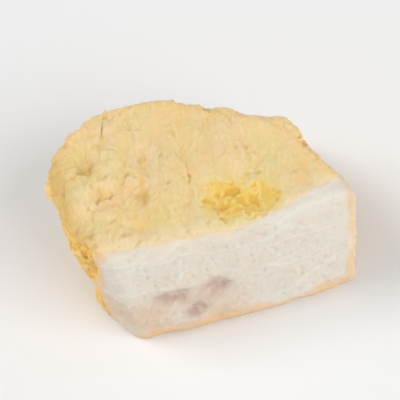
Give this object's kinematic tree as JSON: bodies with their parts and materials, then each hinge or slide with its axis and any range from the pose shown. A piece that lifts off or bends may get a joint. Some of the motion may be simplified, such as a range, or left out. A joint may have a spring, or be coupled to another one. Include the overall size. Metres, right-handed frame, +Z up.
{
  "type": "freeze-dried orange piece",
  "caption": "Chunk of freeze-dried orange: white pith along one side, pale membrane above and below, porous golden flesh where it was cut and torn.",
  "frame": {"origin": "on the surface that the piece rests on, under the middle of its bounding box", "axes": "+X along the pith, towards the bevelled end; +Y from the pith's face towards the core of the fruit; +Z up"},
  "size_m": [0.0196, 0.0142, 0.0099],
  "materials": {
    "dried_orange": "matte, dry and porous: cream membrane, golden flesh, white pith"
  },
  "bodies": {
    "root": {"orange_piece": "dried_orange"}
  },
  "joints": []
}
